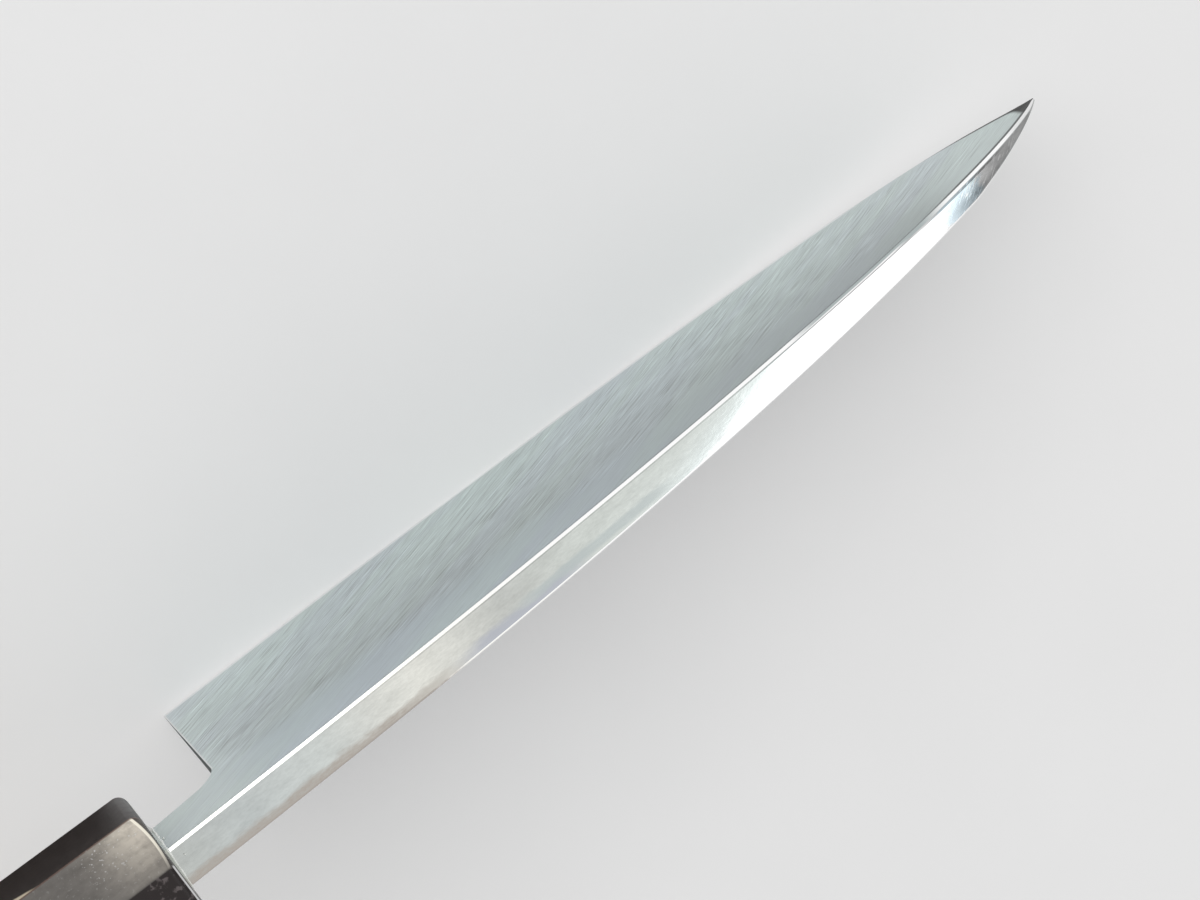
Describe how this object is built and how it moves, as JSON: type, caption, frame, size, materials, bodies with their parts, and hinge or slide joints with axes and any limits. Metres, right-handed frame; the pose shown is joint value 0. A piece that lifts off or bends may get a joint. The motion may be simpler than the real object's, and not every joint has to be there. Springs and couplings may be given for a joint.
{
  "type": "deba knife",
  "caption": "Heavy single-bevel Japanese kitchen knife for fish, with a hollow-ground back, a notched heel, and an octagonal wooden handle with a horn ferrule.",
  "frame": {"origin": "under the middle of the whole knife, level with the lowest point of the cutting edge", "axes": "+X towards the tip, +Z from the edge up to the spine, +Y out of the hollow back"},
  "size_m": [0.315, 0.0252, 0.0682],
  "materials": {
    "soft_iron": "spine polished, front flat finely ground, bevel with a fine stone haze",
    "hard_steel": "satin, with fine diagonal grinding lines on the hollow back",
    "horn": "polished black horn with brown and cream streaks",
    "wood": "fine sanded, unvarnished pale wood",
    "bedding": "cured clear resin, glossy where it stands out at the neck"
  },
  "bodies": {
    "root": {"blade_cladding": "soft_iron", "edge_steel": "hard_steel", "ferrule": "horn", "grip": "wood", "tang_bedding": "bedding"}
  },
  "joints": []
}
